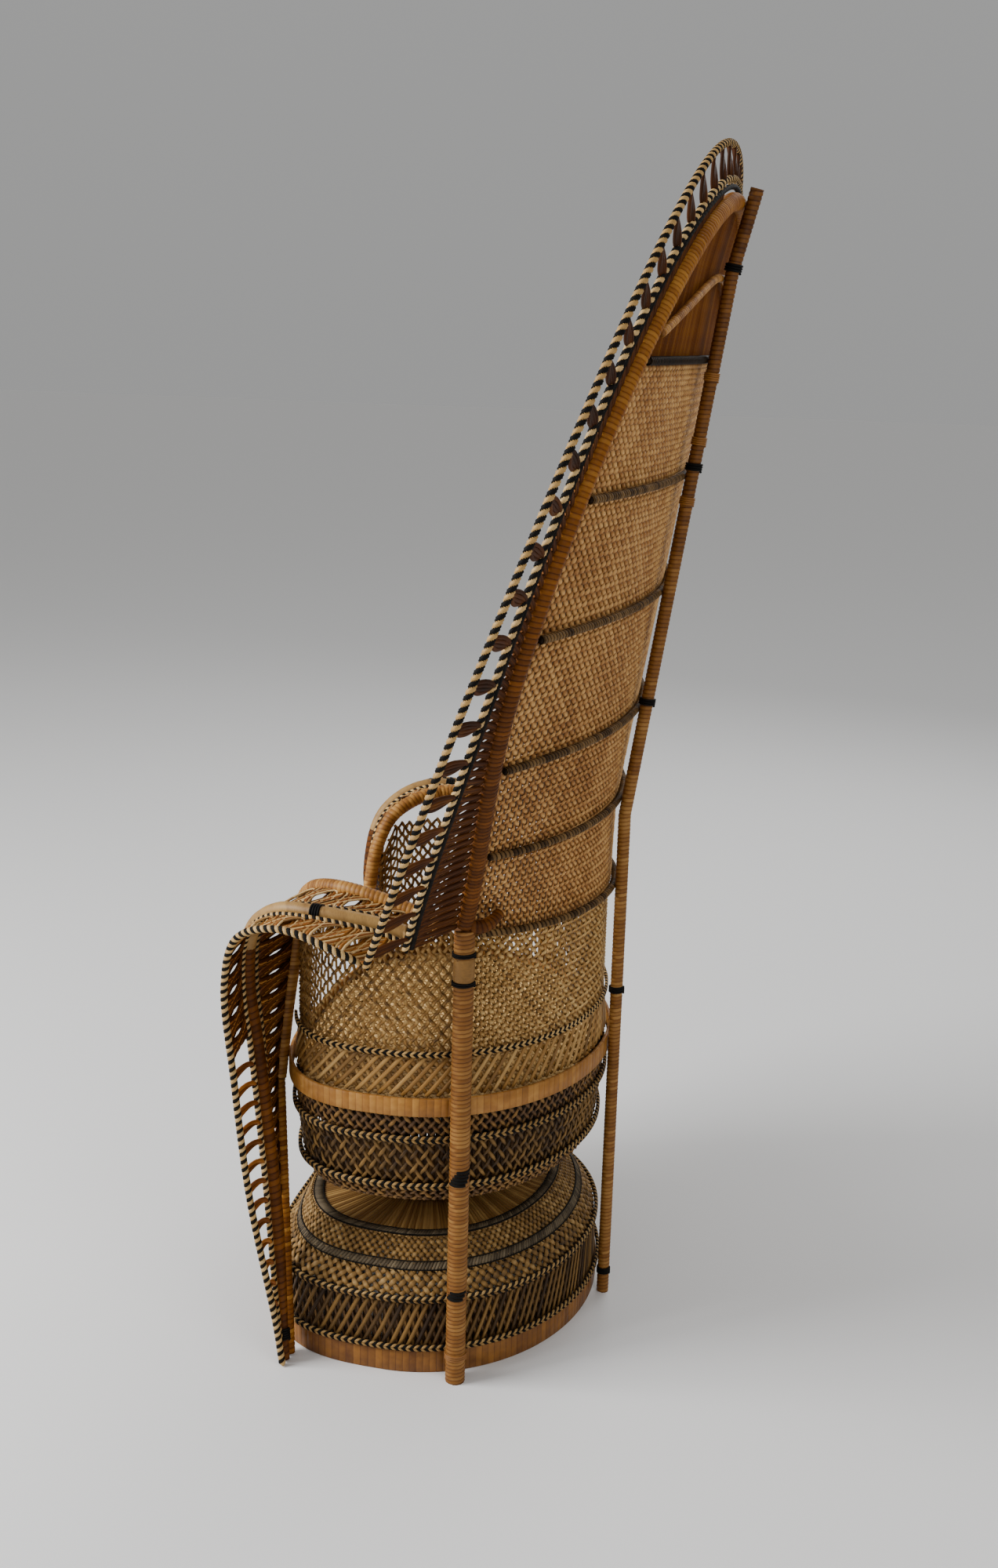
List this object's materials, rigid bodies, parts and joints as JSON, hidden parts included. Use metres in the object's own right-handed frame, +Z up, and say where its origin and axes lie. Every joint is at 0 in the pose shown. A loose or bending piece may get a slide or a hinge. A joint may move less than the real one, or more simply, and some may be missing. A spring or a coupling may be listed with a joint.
{
  "type": "peacock chair",
  "caption": "Woven rattan peacock chair with a tall fan back, scrolled borders, low arms and a waisted drum base, to sit in.",
  "frame": {"origin": "on the floor, in the middle of the chair's width and depth", "axes": "+Z up, -Y the way the chair faces, +X the sitter's left"},
  "size_m": [1.0292, 0.5924, 1.571],
  "materials": {
    "peel": "satin",
    "weave": "matte",
    "dark": "satin",
    "braid": "matte",
    "grey": "matte"
  },
  "bodies": {
    "root": {"base_foot_band": "peel", "seat_rim_band": "peel", "spine_pole": "peel", "fan_frame_pole": "peel", "shell_inner_arch": "peel", "side_post_left": "peel", "side_post_right": "peel", "front_leg_left": "peel", "front_leg_right": "peel", "arm_inner_pole_left": "peel", "arm_inner_pole_right": "peel", "arm_mid_pole_left": "peel", "arm_mid_pole_right": "peel", "base_lower_drum": "weave", "base_lower_top": "weave", "base_upper_floor": "weave", "base_upper_drum": "weave", "seat_panel": "weave", "fan_shell": "weave", "wall_back": "weave", "wall_side_left": "weave", "wall_side_right": "weave", "base_neck": "dark", "spine_tie_1": "dark", "spine_tie_2": "dark", "spine_tie_3": "dark", "spine_tie_4": "dark", "fan_dark_pole": "dark", "fan_scroll": "dark", "fan_infill_left": "dark", "fan_infill_right": "dark", "side_post_tie_left_1": "dark", "side_post_tie_left_2": "dark", "side_post_tie_right_1": "dark", "side_post_tie_right_2": "dark", "arm_scroll_in_left": "dark", "arm_scroll_in_right": "dark", "arm_scroll_out_left": "dark", "arm_scroll_out_right": "dark", "base_braid_low": "braid", "base_braid_mid": "braid", "base_upper_braid_low": "braid", "base_upper_braid_high": "braid", "fan_outer_cord": "braid", "fan_inner_cord": "braid", "arm_outer_cord_left": "braid", "arm_outer_cord_right": "braid", "arm_cord_in_left": "braid", "arm_cord_in_right": "braid", "arm_cord_out_left": "braid", "arm_cord_out_right": "braid", "base_grey_band_outer": "grey", "base_grey_band_inner": "grey", "shell_rib_s": "grey", "shell_rib_a": "grey", "shell_rib_b": "grey", "shell_rib_c": "grey", "shell_rib_d": "grey", "shell_rib_e": "grey", "shell_rib_f": "grey"}
  },
  "joints": []
}
